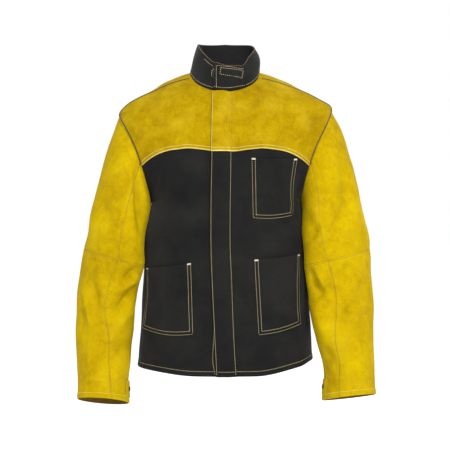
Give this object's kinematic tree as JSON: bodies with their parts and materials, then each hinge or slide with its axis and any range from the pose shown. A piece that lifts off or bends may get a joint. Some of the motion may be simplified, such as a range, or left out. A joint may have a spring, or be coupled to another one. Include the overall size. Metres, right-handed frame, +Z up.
{
  "type": "leather welding jacket",
  "caption": "Welding jacket with split-leather yoke and sleeves, black cotton body, stand collar, storm flap, patch pockets and snap cuffs.",
  "frame": {"origin": "midway between the two points where collar meets shoulder, where a wearer's or hanger's shoulders carry the jacket", "axes": "+Z up, -Y the front of the jacket, +X the wearer's left"},
  "size_m": [0.7338, 0.2838, 0.887],
  "materials": {
    "leather": "golden split leather with a suede nap",
    "cotton": "black flame-retardant cotton twill",
    "hook_tape": "black woven hook and loop tape",
    "stud_metal": "black lacquered press stud",
    "label_cloth": "plain off-white woven label, blank"
  },
  "bodies": {
    "root": {"left_front_yoke": "leather", "right_front_yoke": "leather", "back_yoke": "leather", "left_front_panel": "cotton", "right_front_panel": "cotton", "back_panel": "cotton", "chest_pocket": "cotton", "left_hip_pocket": "cotton", "right_hip_pocket": "cotton", "collar_shell": "cotton", "collar_lining": "cotton", "collar_loop_patch": "hook_tape", "hanger_loop": "cotton", "size_label": "label_cloth", "front_stud_1": "stud_metal", "front_stud_2": "stud_metal", "front_stud_3": "stud_metal", "front_stud_4": "stud_metal", "front_stud_5": "stud_metal"},
    "storm_flap": {"storm_flap_leather": "leather", "storm_flap_cotton": "cotton", "front_socket_1": "stud_metal", "front_socket_2": "stud_metal", "front_socket_3": "stud_metal", "front_socket_4": "stud_metal", "front_socket_5": "stud_metal"},
    "collar_tab": {"collar_tab": "cotton", "collar_hook_patch": "hook_tape"},
    "left_upper_sleeve": {"left_upper_sleeve_top": "leather", "left_upper_sleeve_under": "leather"},
    "left_forearm": {"left_lower_sleeve_top": "leather", "left_lower_sleeve_under": "leather", "left_cuff_socket": "stud_metal"},
    "left_cuff_tab": {"left_cuff_tab": "leather", "left_cuff_cap": "stud_metal"},
    "right_upper_sleeve": {"right_upper_sleeve_top": "leather", "right_upper_sleeve_under": "leather"},
    "right_forearm": {"right_lower_sleeve_top": "leather", "right_lower_sleeve_under": "leather", "right_cuff_socket": "stud_metal"},
    "right_cuff_tab": {"right_cuff_tab": "leather", "right_cuff_cap": "stud_metal"}
  },
  "joints": [
    {"name": "left_shoulder", "type": "hinge", "parent": "root", "child": "left_upper_sleeve", "pos_m": [0.224, 0, -0.2115], "axis": [-0.9383, 0, 0.3459], "range_deg": [-20, 60]},
    {"name": "left_elbow", "type": "hinge", "parent": "left_upper_sleeve", "child": "left_forearm", "pos_m": [0.2795, -0.104, -0.457], "axis": [-1, 0, 0], "range_deg": [0, 45]},
    {"name": "left_cuff_tab_hinge", "type": "hinge", "parent": "left_forearm", "child": "left_cuff_tab", "pos_m": [0.235, -0.0475, -0.763], "axis": [-0.0193, -0.164, -0.9863], "range_deg": [0, 70]},
    {"name": "right_shoulder", "type": "hinge", "parent": "root", "child": "right_upper_sleeve", "pos_m": [-0.224, 0, -0.2115], "axis": [-0.9383, 0, -0.3459], "range_deg": [-20, 60]},
    {"name": "right_elbow", "type": "hinge", "parent": "right_upper_sleeve", "child": "right_forearm", "pos_m": [-0.2795, -0.104, -0.457], "axis": [-1, 0, 0], "range_deg": [0, 45]},
    {"name": "right_cuff_tab_hinge", "type": "hinge", "parent": "right_forearm", "child": "right_cuff_tab", "pos_m": [-0.235, -0.0475, -0.763], "axis": [-0.0193, 0.164, 0.9863], "range_deg": [0, 70]},
    {"name": "storm_flap_hinge", "type": "hinge", "parent": "root", "child": "storm_flap", "pos_m": [0.0195, -0.1415, -0.4], "axis": [-0.0177, 0, 0.9998], "range_deg": [0, 100]},
    {"name": "collar_tab_hinge", "type": "hinge", "parent": "root", "child": "collar_tab", "pos_m": [0.0457, -0.0795, -0.0112], "axis": [-0.1132, 0.278, 0.9539], "range_deg": [0, 100]}
  ]
}
